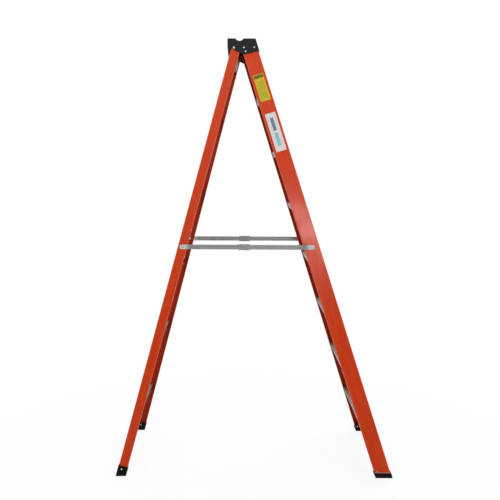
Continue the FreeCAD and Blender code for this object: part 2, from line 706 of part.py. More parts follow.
def front_foot():
    """Rubber foot under the left front rail: a sole, and a plug inside the channel."""
    toe = "(geo.base_reach + (dims.boot_wall + dims.boot_gap) / cos(dims.rear_tilt))"
    top = "dims.sole_height"
    heel = f"({behind_front('dims.front_depth', top)} - dims.sole_lip)"
    points = [(f"{heel} + dims.sole_heel_cut", "0"), (toe, "0"),
              (f"{toe} - dims.sole_toe_rise", top), (heel, top)]
    sole = prism("sole", "XZ_Plane", points, "dims.sole_width + dims.sole_lip",
                 at(0, "-dims.front_base_width / 2 - dims.sole_lip", 0), away=True)
    inset = "(dims.rail_wall + dims.plug_gap)"
    plug = box("plug_blank", f"geo.front_rail * {at(f'{inset} - dims.front_depth', inset, 0)}",
               f"dims.front_depth - 2 * {inset}", f"dims.front_flange - {inset}",
               "2 * dims.front_depth")
    slab = box("plug_slab", at("0", "-dims.front_base_width", "dims.sole_height / 2"),
               "2 * geo.base_reach", "dims.front_base_width",
               "dims.plug_height - dims.sole_height / 2")
    upstand = boolean("Part::Common", "plug", plug, slab)
    return boolean("Part::Fuse", "front_foot", sole, upstand)


def make_front_feet():
    depth = "(-dims.front_depth + dims.rail_wall + dims.foot_rivet_inset)"
    along = (f"((dims.foot_rivet_height - {depth} * sin(dims.front_tilt))"
             " / cos(dims.front_tilt) / cos(geo.front_splay))")
    outward = about(1, 0, 0, 90)
    place = f"geo.front_rail * {at(depth, 'dims.front_flange', along, outward)}"
    tool = hole("foot_hole", place, "dims.front_flange")
    front_holes.append(tool)
    node_foot = boolean("Part::Cut", "front_foot_drilled", front_foot(), tool)
    both_sides("front_foot", node_foot)
    both_sides("foot_rivet", rivet("foot_rivet", place, "dims.front_flange", tail=False))


def boot_rounding(edge):
    """Radius for the boot's upright corners, and once it is cut, round its bottom."""
    heights = [vertex.Point.z for vertex in edge.Vertexes]
    if max(abs(height) for height in heights) < 0.01:
        return "dims.boot_edge"
    below_floor = min(heights) < -0.01
    rise = max(heights) - min(heights)
    return "dims.boot_corner" if below_floor and rise > value("dims.boot_height") else None


def make_rear_boots():
    skin = "(dims.boot_gap + dims.boot_wall)"
    outer = box("boot_outer", f"geo.rear_rail * {at(f'-{skin}', f'-{skin}', '-dims.rear_depth')}",
                f"dims.rear_depth + 2 * {skin}", f"dims.rear_flange + 2 * {skin}",
                "dims.rear_depth + dims.boot_height")
    upright = eased("boot_upright", outer, boot_rounding)
    inner = box("boot_inner", f"geo.rear_rail * {at('-dims.boot_gap', '-dims.boot_gap', 0)}",
                "dims.rear_depth + 2 * dims.boot_gap", "dims.rear_flange + 2 * dims.boot_gap",
                "2 * dims.boot_height")
    pocket = boolean("Part::Cut", "boot_pocket", inner, under_rear_rail)
    trimmed = boolean("Part::Cut", "boot_trimmed", upright, floor_space)
    rounded = eased("boot_rounded", trimmed, boot_rounding)
    cup = boolean("Part::Cut", "boot_cup", rounded, pocket)
    along = ("((dims.boot_rivet_height + dims.boot_rivet_inset * sin(dims.rear_tilt))"
             " / cos(dims.rear_tilt) / cos(geo.rear_splay))")
    place = f"geo.rear_rail * {at('dims.boot_rivet_inset', f'-{skin}', along, INWARD)}"
    grip = f"dims.rear_flange + 2 * {skin}"
    tool = hole("boot_hole", place, grip)
    rear_holes.append(tool)
    both_sides("rear_boot", boolean("Part::Cut", "boot_drilled", cup, tool))
    both_sides("boot_rivet", rivet("boot_rivet", place, grip))


# ---------------------------------------------------------------- spreaders

def spreader_bar(name, pin_x, tab, plane, length, way):
    """Bar from its pivot at pin_x to the mid joint; its tab is stepped in to the rail."""
    wall = "dims.bar_wall"
    near = f"({way} * dims.joggle_start)"
    far = f"({way} * (dims.joggle_start + dims.joggle_length))"
    tip = f"({way} * ({length} + dims.knuckle_height / 2))"
    tail = f"(-{way} * dims.bar_end)"
    plan = [(tail, f"-({tab})"), (near, f"-({tab})"), (far, f"-({plane})"),
            (tip, f"-({plane})"), (tip, f"-({plane} + {wall})"), (far, f"-({plane} + {wall})"),
            (near, f"-({tab} + {wall})"), (tail, f"-({tab} + {wall})")]
    place = at(pin_x, 0, "dims.spreader_height")
    strip = prism(f"{name}_plan", "XY_Plane", plan, "dims.knuckle_height", place,
                  side="Symmetric")
    neck = f"({way} * ({length} + dims.knuckle_height / 2 - dims.knuckle_length))"
    half, wide = "(dims.bar_height / 2)", "(dims.knuckle_height / 2)"
    front = [(tail, f"-{half}"), (neck, f"-{half}"), (f"{neck} + {way} * dims.knuckle_slope", f"-{wide}"),
             (tip, f"-{wide}"), (tip, wide), (f"{neck} + {way} * dims.knuckle_slope", wide), (neck, half),
             (tail, half)]
    face = prism(f"{name}_face", "XZ_Plane", front, "dims.front_base_width", place,
                 side="Symmetric")
    ends = [value(tail), value(tip)]

    def corner(edge):
        points = [vertex.Point for vertex in edge.Vertexes]
        along_y = abs(points[0].y - points[1].y) > value("dims.front_base_width") / 2
        return along_y and min(abs(points[0].x - end) for end in ends) < 0.01

    round_edges(face, f"{name}_ends", "dims.bar_corner", corner)
    return boolean("Part::Common", name, strip, face)


def spacer(name, pin_x, tab, rail):
    """Round spacer from the tab to the sloping web, faced off against the rail."""
    place = at(pin_x, f"-({tab})", "dims.spreader_height", INWARD)
    blank = cylinder(f"{name}_blank", place, "dims.spacer_radius",
                     "dims.spacer_width + dims.rail_wall / 2")
    return boolean("Part::Cut", f"{name}_faced", blank, rail)


def make_spreaders():
    half = "dims.bar_height / 2"
    webs = {"front": front_web("geo.front_pin_x", "dims.spreader_height"),
            "rear": rear_web("geo.rear_pin_x", "dims.spreader_height")}
    planes = {"rear": f"({webs['front']} + dims.bar_plane)",
              "front": f"({webs['front']} + dims.bar_plane + dims.bar_wall + dims.bar_gap)"}
    lengths = {"front": "(geo.front_pin_x + dims.spreader_joint)",
               "rear": "(-dims.spreader_joint - geo.rear_pin_x)"}
    rails = {"front": front_channel, "rear": rear_channel}
    ways = {"front": "-1", "rear": "1"}
    drills = {"front": front_holes, "rear": rear_holes}
    splays = {"front": "geo.front_splay", "rear": "geo.rear_splay"}
    for end in ("front", "rear"):
        pin_x, tab = f"geo.{end}_pin_x", f"({webs[end]} + dims.spacer_width)"
        bar = spreader_bar(f"{end}_bar", pin_x, tab, planes[end], lengths[end], ways[end])
        inner = (f"({webs[end]} - dims.rail_wall / cos({splays[end]}) - dims.pin_side_gap)")
        place = at(pin_x, f"-({tab} + dims.bar_wall)", "dims.spreader_height", INWARD)
        grip = f"({tab} + dims.bar_wall - {inner})"
        tool = hole(f"{end}_pin_hole", place, grip, "dims.pin_radius")
        drills[end].append(tool)
        middle = middle_pin(end, planes[end])
        tools = group(f"{end}_bar_holes", [tool, middle[1]])
        both_sides(f"{end}_spreader", boolean("Part::Cut", f"{end}_bar_drilled", bar, tools))
        both_sides(f"{end}_spreader_pin", rivet(f"{end}_pin", place, grip, "dims.pin_radius",
                                                "dims.pin_head"))
        faced = spacer(f"{end}_spacer", pin_x, tab, rails[end])
        both_sides(f"{end}_spreader_spacer",
                   boolean("Part::Cut", f"{end}_spacer_drilled", faced, tool))
        both_sides(f"{end}_middle_pin", middle[0])


def middle_pin(end, plane):
    """Half of the mid joint's pin: its head outside the front bar or inside the rear one."""
    if end == "front":
        place = at("-dims.spreader_joint", f"-({plane} + dims.bar_wall)",
                   "dims.spreader_height", INWARD)
    else:
        place = at("-dims.spreader_joint", f"-({plane})", "dims.spreader_height",
                   about(1, 0, 0, 90))
    tool = hole(f"{end}_middle_hole", place, "dims.bar_wall", "dims.pin_radius")
    return rivet(f"{end}_middle_pin", place, "dims.bar_wall", "dims.pin_radius",
                 "dims.pin_head", tail=False), tool


# ---------------------------------------------------------------- labels

def make_labels():
    """Two thin plain labels on the web of the left front rail."""
    for stem in ("upper", "lower"):
        size = f"dims.{stem}_label"
        corner = at(f"-(dims.front_depth + {size}_width) / 2", "-dims.label_wall",
                    f"geo.rail_length - {size}_drop - {size}_length")
        node(f"{stem}_label", box(f"{stem}_label", f"geo.front_rail * {corner}",
                                  f"{size}_width", "dims.label_wall", f"{size}_length"))


# ---------------------------------------------------------------- the ladder

def make_rails():
    for end, blank, holes in (("front", front_channel, front_holes),
                              ("rear", rear_channel, rear_holes)):
        tools = group(f"{end}_rail_cuts", holes)
        both_sides(f"{end}_rail", boolean("Part::Cut", f"{end}_rail_drilled", blank, tools))


def check_document():
    """Stop if any object failed or any finished piece is not a sound solid."""
    for item in doc.Objects:
        if {"Invalid", "Error"} & set(item.State):
            raise RuntimeError(f"{item.Name} failed: {item.State}")
    for item in nodes:
        shape = item.Shape
        if shape.isNull() or not shape.isValid() or not shape.Solids:
            raise RuntimeError(f"{item.Label} has no valid solid")


def write_parts():
    os.makedirs("parts", exist_ok=True)
    for item in nodes:
        item.Shape.exportStep(f"parts/{item.Label}.step")


make_steps()
make_braces()
make_cap()
make_front_feet()
make_rear_boots()
make_spreaders()
make_labels()
make_rails()
doc.recompute()
check_document()
write_parts()
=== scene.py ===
"""Finishes and studio stage for a folding step ladder."""
from math import cos, pi, radians, sin

import bpy
from bpy.props import FloatProperty, FloatVectorProperty, PointerProperty
from mathutils import Matrix, Vector


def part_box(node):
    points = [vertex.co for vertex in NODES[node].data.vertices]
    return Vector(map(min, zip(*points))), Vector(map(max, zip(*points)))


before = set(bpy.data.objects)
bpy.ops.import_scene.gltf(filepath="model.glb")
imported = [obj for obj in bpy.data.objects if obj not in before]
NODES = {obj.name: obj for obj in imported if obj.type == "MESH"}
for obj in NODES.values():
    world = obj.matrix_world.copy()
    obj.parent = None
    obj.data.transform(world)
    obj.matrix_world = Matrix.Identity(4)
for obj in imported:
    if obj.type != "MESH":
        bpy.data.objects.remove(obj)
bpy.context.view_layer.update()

bl_info = {
    "name": "Step Ladder Finish",
    "version": (1, 0, 0),
    "blender": (4, 5, 0),
    "location": "View3D > Sidebar > Ladder",
    "description": "Fibreglass, aluminium, rubber and cap finishes for a folding step ladder",
    "category": "Object",
}

# Lean of the rails from upright, and the width of their webs
FRONT_TILT, REAR_TILT = radians(17.75), radians(14.95)
FRONT_DEPTH, REAR_DEPTH = 0.082, 0.048

# Paler bands, in metres: the painted highlight along the rails' corners, the band along the
# cap's top edge, and the painted highlight above a rail's bottom end
CORNER_HIGHLIGHT, CAP_TOP_BAND = 0.0050, 0.0035
BOTTOM_HIGHLIGHT_FROM, BOTTOM_HIGHLIGHT_TO = 0.001, 0.006

# Round a spreader pin, in metres: the painted highlight along the bar, and the dark ring just
# outside the pin's head
HIGHLIGHT_REACH, HIGHLIGHT_FADE = 0.03, 0.015
PIN_RING_FROM, PIN_RING_TO = 0.0005, 0.0035

# Label print, in metres: each band's middle along the label and half its length
HEADER, RULES = (0.0600, 0.0090), (-0.012, 0.050)
NAVY_BAR, TEAL_BAR = (0.043, 0.036), (-0.040, 0.036)
RULE_SPACING = 0.0084

# Floor: its radius, its drop under the feet, and where its soft shadow ends
FLOOR_RADIUS, FLOOR_DROP = 9.0, 0.0005
SHADOW_FROM, SHADOW_TO = 0.9, 2.0

# Where the camera stands across the ladder, and how it is turned, in degrees
EYE_OFFSET = -0.0334
EYE_YAW, EYE_PITCH, EYE_ROLL = -0.111, 6.041, 0.262

# Each lamp: its place, what it faces, its two sizes and its watts
LAMPS = {
    "key": ((-1.0, -2.5, 3.7), (0.1, 0.0, 1.5), (1.3, 1.3), 40.0),
    "fill": ((2.5, -2.6, 3.0), (0.0, 0.0, 1.3), (1.4, 1.8), 17.0),
    "top": ((0.2, 1.2, 4.4), (0.0, 0.0, 0.0), (3.0, 2.4), 108.0),
    "veil": ((0.0, -4.0, 3.2), (0.0, 0.0, 1.9), (2.6, 0.9), 15.0),
    "front": ((0.36, -4.1, 1.63), (0.27, 0.0, 1.3), (0.42, 0.55), 30.0),
}
WORLD_FILL = 0.29


# ---------------------------------------------------------------- settings

def colour(name, description, default):
    return FloatVectorProperty(name=name, description=description, subtype="COLOR", size=3,
                               min=0.0, max=1.0, default=default)


def amount(name, description, default):
    return FloatProperty(name=name, description=description, subtype="FACTOR",
                         min=0.0, max=1.0, default=default)


def length(name, description, default):
    return FloatProperty(name=name, description=description, subtype="DISTANCE",
                         unit="LENGTH", min=0.0, default=default)


class FibreglassSettings(bpy.types.PropertyGroup):
    resin: colour("Resin", "Orange pigment in the rails' resin", (0.55, 0.041, 0.003))
    deep_resin: colour("Deep resin", "Darker streaks where the fibres bunch",
                       (0.43, 0.026, 0.002))
    # Painted shade: this darker colour stands in for the shade inside the channels, whose faces
    # are also left duller
    inside: colour("Inside", "Unpolished inside of the channels", (0.27, 0.014, 0.002))
    # Painted highlight: this pale colour is a band just above each rail's bottom end
    bottom_highlight_colour: colour("Cut edge", "Pale glass where a rail was sawn off", (0.60, 0.33, 0.24))
    # Pale single strands, and the painted highlight along the rails' rounded corners
    pale_strand_and_highlight: colour("Scuff", "Rubbed, chalky corners of the rails", (0.70, 0.17, 0.08))
    roughness: amount("Roughness", "Roughness of the rails' surface veil", 0.235)
    specular: amount("Specular", "Reflection of the resin", 0.12)


class CapSettings(bpy.types.PropertyGroup):
    plastic: colour("Plastic", "Moulded cap", (0.0048, 0.0056, 0.0064))
    bloom: colour("Bloom", "Greyer patches of weathered plastic", (0.0175, 0.0190, 0.0210))
    roughness: amount("Roughness", "Roughness of the moulded surface", 0.5)
    specular: amount("Specular", "Reflection of the plastic", 0.1)


class MetalSettings(bpy.types.PropertyGroup):
    aluminium: colour("Aluminium", "Extruded treads and braces", (0.31, 0.29, 0.265))
    zinc: colour("Zinc", "Plated spreader bars", (0.185, 0.185, 0.185))
    rivet: colour("Rivet", "Rivet and pin heads", (0.46, 0.455, 0.44))
    # Dirt in the treads' grip grooves, and the dark ring just outside each spreader pin's head
    grime_and_pin_ring: colour("Grime", "Dirt in the grip grooves and round the pins", (0.09, 0.08, 0.07))
    roughness: amount("Roughness", "Roughness of the bare metal", 0.46)
    metallic: amount("Metallic", "Bare metal against its dull oxide", 0.62)


class RubberSettings(bpy.types.PropertyGroup):
    rubber: colour("Rubber", "Feet and boots", (0.0032, 0.0028, 0.0028))
    dust: colour("Dust", "Pale dust on the rubber", (0.026, 0.020, 0.018))
    roughness: amount("Roughness", "Roughness of the rubber", 0.7)
    specular: amount("Specular", "Reflection of the rubber", 0.08)


class LabelSettings(bpy.types.PropertyGroup):
    yellow: colour("Yellow", "Upper label", (0.52, 0.43, 0.022))
    dark: colour("Dark", "Dark bands of the upper label", (0.018, 0.014, 0.006))
    silver: colour("Silver", "Lower label", (0.46, 0.44, 0.43))
    navy: colour("Navy", "Bars on the lower label", (0.035, 0.075, 0.15))
    teal: colour("Teal", "Bars on the lower label", (0.06, 0.30, 0.34))


class StageSettings(bpy.types.PropertyGroup):
    backdrop: colour("Backdrop", "Floor and backdrop", (0.93, 0.93, 0.93))
    focal_length: FloatProperty(name="Focal length", description="Camera lens",
                                subtype="DISTANCE_CAMERA", unit="CAMERA", default=50.85)
    eye_height: length("Eye height", "Camera over the floor", 1.610)
    eye_distance: length("Eye distance", "Camera to the middle of the ladder", 4.001)


SETTINGS = {"fibreglass": FibreglassSettings, "cap": CapSettings, "metal": MetalSettings,
            "rubber": RubberSettings, "label": LabelSettings, "stage": StageSettings}


def settings(name):
    return getattr(bpy.context.scene, f"ladder_{name}")


# ---------------------------------------------------------------- node helpers

class Finish:
    """A material and the short calls that wire it."""

    def __init__(self, name, roughness, metallic=0.0, specular=0.5):
        self.material = bpy.data.materials.new(name)
        self.material.use_nodes = True
        self.tree = self.material.node_tree
        self.shader = self.tree.nodes["Principled BSDF"]
        self.shader.inputs["Roughness"].default_value = roughness
        self.shader.inputs["Metallic"].default_value = metallic
        self.shader.inputs["Specular IOR Level"].default_value = specular

    def add(self, kind, sockets=None, **options):
        """Add a node; a socket given another node's output is linked to it."""
        item = self.tree.nodes.new(f"ShaderNode{kind}")
        for name, option in options.items():
            setattr(item, name, option)
        for socket, value in (sockets or {}).items():
            if isinstance(value, bpy.types.NodeSocket):
                self.tree.links.new(value, item.inputs[socket])
            else:
                item.inputs[socket].default_value = value
        return item

    def math(self, operation, first, second=0.0, clamp=False):
        return self.add("Math", {0: first, 1: second}, operation=operation,
                        use_clamp=clamp).outputs[0]

    def ramp(self, value, low, high, start=0.0, end=1.0):
        """Value mapped from low..high to start..end, smoothly and clamped."""
        return self.add("MapRange", {0: value, 1: low, 2: high, 3: start, 4: end},
                        interpolation_type="SMOOTHSTEP").outputs[0]

    def band(self, value, middle, half, soft):
        """One inside a band of a coordinate and zero outside it."""
        distance = self.math("ABSOLUTE", self.math("SUBTRACT", value, middle))
        return self.ramp(distance, half - soft, half + soft, 1.0, 0.0)

    def mix(self, factor, first, second):
        return self.add("Mix", {0: factor, 6: first, 7: second}, data_type="RGBA").outputs[2]

    def place(self, turn=0.0, centre=(0.0, 0.0, 0.0)):
        """Object coordinates about a point, turned about Y so that Z runs along a rail."""
        coordinates = self.add("TexCoord").outputs["Object"]
        moved = self.add("VectorMath", {0: coordinates, 1: centre},
                         operation="SUBTRACT").outputs[0]
        return self.add("Mapping", {"Vector": moved, "Rotation": (0.0, turn, 0.0)},
                        vector_type="POINT").outputs[0]

    def stretched(self, vector, scale):
        return self.add("Mapping", {"Vector": vector, "Scale": scale},
                        vector_type="POINT").outputs[0]

    def noise(self, vector, scale, detail=3.0, roughness=0.55):
        return self.add("TexNoise", {"Vector": vector, "Scale": scale, "Detail": detail,
                                     "Roughness": roughness}).outputs["Fac"]

    def facing(self, turn=0.0):
        """The surface's own normal, turned as place() turns its coordinates."""
        normal = self.add("TexCoord").outputs["Normal"]
        return self.add("Mapping", {"Vector": normal, "Rotation": (0.0, turn, 0.0)},
                        vector_type="POINT").outputs[0]

    def split(self, vector):
        return self.add("SeparateXYZ", {0: vector}).outputs

    def bump(self, height, strength, distance, under=None):
        sockets = {"Height": height, "Strength": strength, "Distance": distance}
        if under is not None:
            sockets["Normal"] = under
        return self.add("Bump", sockets).outputs["Normal"]

    def wire(self, **sockets):
        """Link outputs to the shader's sockets, such as Base_Color."""
        for name, output in sockets.items():
            self.tree.links.new(output, self.shader.inputs[name.replace("_", " ")])
        return self.material


def rgba(value, brightness=1.0):
    """A settings colour, made darker or brighter, with its alpha."""
    return (*(brightness * part for part in value), 1.0)


def dress(material, *names):
    """Give CAD nodes one material."""
    for name in names:
        mesh = NODES[name].data
        mesh.materials.clear()
        mesh.materials.append(material)


def matching(*starts):
    return [name for name in NODES if name.startswith(starts)]


# ---------------------------------------------------------------- fibreglass

def fibre_colour(finish, look, patches, streaks, strands):
    """Orange resin with darker bunched fibres and single pale strands."""
    base = finish.mix(finish.ramp(streaks, 0.34, 0.70, 0.0, 0.6), rgba(look.resin),
                      rgba(look.deep_resin))
    base = finish.mix(finish.ramp(patches, 0.40, 0.72, 0.0, 0.45), base,
                      rgba(look.deep_resin))
    return finish.mix(finish.ramp(strands, 0.58, 0.80, 0.0, 0.35), base, rgba(look.pale_strand_and_highlight))


def inside_channel(finish, out, turned_out, from_middle, turned_across):
    """One on the faces that look into the channel and zero on its outside."""
    web_side = finish.math("MULTIPLY", out, turned_out)
    flange_side = finish.math("MULTIPLY", from_middle, turned_across)
    return finish.math("MAXIMUM", finish.ramp(web_side, -0.06, -0.01, 1.0, 0.0),
                       finish.ramp(flange_side, -0.012, -0.004, 1.0, 0.0))


def fibreglass(name, tilt, edge_x, depth, foot_height):
    """Pultruded resin: fibre streaks along the rail, painted highlights along the corners and
    in a pale band above the bottom end, and painted shade inside the channels.
    """
    look = settings("fibreglass")
    finish = Finish(name, look.roughness, specular=look.specular)
    along = finish.place(tilt)
    streaks = finish.noise(finish.stretched(along, (70.0, 70.0, 1.3)), 1.0, 4.0, 0.6)
    patches = finish.noise(along, 4.0, 3.0)
    strands = finish.noise(finish.stretched(along, (900.0, 900.0, 22.0)), 1.0, 2.0)
    base = fibre_colour(finish, look, patches, streaks, strands)

    across, out, _ = finish.split(along)
    from_middle = finish.math("SUBTRACT", across, edge_x + depth / 2)
    to_edge = finish.math("SUBTRACT", depth / 2, finish.math("ABSOLUTE", from_middle))
    # Painted highlight along the rails' rounded corners, in patches
    corner = finish.ramp(to_edge, 0.0, CORNER_HIGHLIGHT, 1.0, 0.0)
    painted_highlight = finish.math("MULTIPLY", corner, finish.ramp(patches, 0.35, 0.62, 0.4, 0.9))
    base = finish.mix(painted_highlight, base, rgba(look.pale_strand_and_highlight))

    turned_across, turned_out, _ = finish.split(finish.facing(tilt))
    # Painted shade: faces that look into the channel take the darker inside colour
    inside = inside_channel(finish, out, turned_out, from_middle, turned_across)
    base = finish.mix(finish.math("MULTIPLY", inside, 0.85), base, rgba(look.inside))

    _, _, height = finish.split(finish.place())
    # Painted highlight: a pale band just above the rail's bottom end
    bottom_highlight = finish.ramp(height, foot_height + BOTTOM_HIGHLIGHT_FROM, foot_height + BOTTOM_HIGHLIGHT_TO, 0.8, 0.0)
    base = finish.mix(bottom_highlight, base, rgba(look.bottom_highlight_colour))

    rough = finish.ramp(patches, 0.3, 0.7, look.roughness - 0.05, look.roughness + 0.08)
    flange = finish.ramp(finish.math("ABSOLUTE", turned_across), 0.5, 0.85, 0.0, 0.3)
    dull = finish.math("MAXIMUM", flange, finish.math("MULTIPLY", inside, 0.3))
    rough = finish.math("ADD", rough, dull)
    normal = finish.bump(streaks, 0.12, 0.0004, finish.bump(strands, 0.12, 0.0002))
    return finish.wire(Base_Color=base, Roughness=rough, Normal=normal)


# ---------------------------------------------------------------- cap

def cap_plastic():
    """Moulded plastic: fine spark-eroded grain, grey bloom and a paler band along the top edge.
    """
    look = settings("cap")
    finish = Finish("cap_plastic", look.roughness, specular=look.specular)
    place = finish.place()
    grain = finish.noise(place, 900.0, 2.0)
    pebble = finish.add("TexVoronoi", {"Vector": place, "Scale": 420.0}).outputs["Distance"]
    clouds = finish.noise(place, 75.0, 6.0, 0.7)
    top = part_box("top_cap")[1].z
    base = finish.mix(finish.ramp(clouds, 0.42, 0.66), rgba(look.plastic), rgba(look.bloom))
    _, _, height = finish.split(place)
    # A paler band along the cap's top edge, in patches
    top_band = finish.math("MULTIPLY", finish.ramp(height, top - CAP_TOP_BAND, top, 0.0, 0.8),
                         finish.ramp(clouds, 0.42, 0.6))
    base = finish.mix(top_band, base, rgba(look.bloom, 2.2))
    rough = finish.ramp(clouds, 0.3, 0.7, look.roughness - 0.08, look.roughness + 0.12)
    normal = finish.bump(pebble, 0.6, 0.0005, finish.bump(grain, 0.3, 0.0002))
    return finish.wire(Base_Color=base, Roughness=rough, Normal=normal)


# ---------------------------------------------------------------- metals

def extrusion(name, grooved):
    """Aluminium section: die lines across the ladder and dull handling marks."""
    look = settings("metal")
    finish = Finish(name, look.roughness, look.metallic)
    place = finish.place()
    lines = finish.noise(finish.stretched(place, (700.0, 3.0, 700.0)), 1.0, 3.0, 0.7)
    marks = finish.noise(place, 22.0, 4.0, 0.6)
    base = finish.mix(finish.ramp(marks, 0.4, 0.75, 0.0, 0.55), rgba(look.aluminium),
                      rgba(look.aluminium, 0.72))
    if grooved:
        wear = finish.ramp(finish.noise(finish.stretched(place, (60.0, 6.0, 60.0)), 1.0, 3.0),
                           0.46, 0.72, 0.0, 0.45)
        base = finish.mix(wear, base, rgba(look.grime_and_pin_ring))
    rough = finish.ramp(lines, 0.3, 0.7, look.roughness - 0.08, look.roughness + 0.12)
    return finish.wire(Base_Color=base, Roughness=rough,
                       Normal=finish.bump(lines, 0.25, 0.0002))


def plated_steel():
    """Zinc plate: spangle, scratches, dark blotches, a painted highlight along the bar round
    each pin and a dark ring round each pin's head.
    """
    look = settings("metal")
    finish = Finish("plated_steel", look.roughness, look.metallic)
    place = finish.place()
    spangle = finish.add("TexVoronoi", {"Vector": place, "Scale": 130.0}).outputs["Color"]
    tone = finish.add("SeparateColor", {0: spangle}).outputs[0]
    scratches = finish.noise(finish.stretched(place, (8.0, 8.0, 500.0)), 1.0, 4.0, 0.7)
    blotch = finish.noise(place, 15.0, 4.0)
    base = finish.mix(finish.ramp(tone, 0.0, 1.0, 0.0, 0.22), rgba(look.zinc),
                      rgba(look.zinc, 0.6))
    base = finish.mix(finish.ramp(blotch, 0.5, 0.75, 0.0, 0.35), base,
                      rgba(look.zinc, 0.45))
    for end in ("front", "rear"):
        low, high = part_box(f"{end}_spreader_pin_left")
        head_radius = (high.z - low.z) / 2
        from_pin, _, over_pin = finish.split(finish.place(centre=(low + high) / 2))
        # Painted highlight: the bar is brighter for a few centimetres either side of each pin,
        # in patches
        painted_highlight = finish.math("MULTIPLY", finish.band(from_pin, 0.0, HIGHLIGHT_REACH, HIGHLIGHT_FADE),
                           finish.ramp(blotch, 0.3, 0.6, 0.9, 0.4))
        base = finish.mix(painted_highlight, base, rgba(look.zinc, 2.9))
        # A dark ring just outside each pin's head
        squares = finish.math("ADD", finish.math("POWER", from_pin, 2.0),
                              finish.math("POWER", over_pin, 2.0))
        reach = finish.math("POWER", squares, 0.5)
        ring = finish.ramp(reach, head_radius + PIN_RING_FROM, head_radius + PIN_RING_TO, 0.85, 0.0)
        base = finish.mix(ring, base, rgba(look.grime_and_pin_ring))
    rough = finish.ramp(scratches, 0.3, 0.7, look.roughness - 0.06, look.roughness + 0.1)
    return finish.wire(Base_Color=base, Roughness=rough,
                       Normal=finish.bump(scratches, 0.2, 0.0002))


def bright_rivet():
    """Bright aluminium heads with a little dirt."""
    look = settings("metal")
    finish = Finish("bright_rivet", look.roughness, look.metallic)
    dirt = finish.noise(finish.place(), 160.0, 3.0)
    base = finish.mix(finish.ramp(dirt, 0.52, 0.75, 0.0, 0.5), rgba(look.rivet),
                      rgba(look.rivet, 0.4))
    rough = finish.ramp(dirt, 0.3, 0.7, look.roughness - 0.12, look.roughness)
    return finish.wire(Base_Color=base, Roughness=rough, Normal=finish.bump(dirt, 0.15, 0.0003))


# ---------------------------------------------------------------- rubber

def foot_rubber():
    """Matt black rubber, dusty near the floor."""
    look = settings("rubber")
    finish = Finish("foot_rubber", look.roughness, specular=look.specular)
    place = finish.place()
    specks = finish.noise(place, 420.0, 3.0, 0.65)
    clouds = finish.noise(place, 48.0, 4.0)
    _, _, height = finish.split(place)
    low = finish.ramp(height, 0.001, 0.022, 0.55, 0.06)
    dusty = finish.math("MULTIPLY", low, finish.ramp(clouds, 0.4, 0.66))
    base = finish.mix(dusty, rgba(look.rubber), rgba(look.dust))
    rough = finish.ramp(clouds, 0.3, 0.7, look.roughness - 0.1, look.roughness + 0.12)
    return finish.wire(Base_Color=base, Roughness=rough,
                       Normal=finish.bump(specks, 0.4, 0.0004))


# ---------------------------------------------------------------- labels

def label_axes(finish, name):
    """Across and along the label from its middle, in metres."""
    low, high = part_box(name)
    across, _, along = finish.split(finish.place(FRONT_TILT, (low + high) / 2))
    return across, along


def upper_label():
    """Yellow film with a dark header band and rows of plain rules."""
    look = settings("label")
    finish = Finish("upper_label", 0.36, specular=0.12)
    across, along = label_axes(finish, "upper_label")
    fade = finish.noise(finish.place(), 60.0, 4.0)
    base = finish.mix(finish.ramp(fade, 0.35, 0.7, 0.0, 0.5), rgba(look.yellow),
                      rgba(look.yellow, 0.72))
    header = finish.band(along, *HEADER, 0.0012)
    header = finish.math("MULTIPLY", header, finish.band(across, 0.0, 0.0255, 0.0005))
    rows = finish.math("PINGPONG", along, RULE_SPACING / 2)
    rules = finish.math("MULTIPLY", finish.ramp(rows, 0.0009, 0.0014, 1.0, 0.0),
                        finish.band(along, *RULES, 0.0006))
    rules = finish.math("MULTIPLY", rules, finish.band(across, -0.002, 0.019, 0.0005))
    base = finish.mix(finish.math("MULTIPLY", rules, 0.6), base, rgba(look.dark))
    base = finish.mix(finish.math("MULTIPLY", header, finish.ramp(fade, 0.36, 0.64, 0.66, 0.9)),
                      base, rgba(look.dark))
    return finish.wire(Base_Color=base, Normal=finish.bump(fade, 0.1, 0.0003))


def lower_label():
    """Silver film with a navy bar and a teal bar along the rail."""
    look = settings("label")
    finish = Finish("lower_label", 0.3, 0.25, 0.3)
    across, along = label_axes(finish, "lower_label")
    fade = finish.noise(finish.place(), 50.0, 4.0)
    base = finish.mix(finish.ramp(fade, 0.35, 0.7, 0.0, 0.4), rgba(look.silver),
                      rgba(look.silver, 0.8))
    column = finish.band(across, 0.0, 0.009, 0.0005)
    navy = finish.math("MULTIPLY", column, finish.band(along, *NAVY_BAR, 0.0006))
    teal = finish.math("MULTIPLY", column, finish.band(along, *TEAL_BAR, 0.0006))
    base = finish.mix(finish.math("MULTIPLY", navy, 0.85), base, rgba(look.navy))
    base = finish.mix(finish.math("MULTIPLY", teal, 0.8), base, rgba(look.teal))
    return finish.wire(Base_Color=base, Normal=finish.bump(fade, 0.08, 0.0003))


# ---------------------------------------------------------------- operators

class LADDER_OT_rails(bpy.types.Operator):
    """Orange fibreglass on the four channel rails."""
    bl_idname = "ladder.rails"
    bl_label = "Fibreglass rails"

    def execute(self, context):
        low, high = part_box("front_rail_left")
        front_edge = high.x * cos(FRONT_TILT) + low.z * sin(FRONT_TILT)
        dress(fibreglass("front_fibreglass", FRONT_TILT, front_edge - FRONT_DEPTH, FRONT_DEPTH,
                         low.z), "front_rail_left", "front_rail_right")
        low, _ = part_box("rear_rail_left")
        rear_edge = low.x * cos(REAR_TILT) - low.z * sin(REAR_TILT)
        dress(fibreglass("rear_fibreglass", -REAR_TILT, rear_edge, REAR_DEPTH, low.z),
              "rear_rail_left", "rear_rail_right")
        return {"FINISHED"}


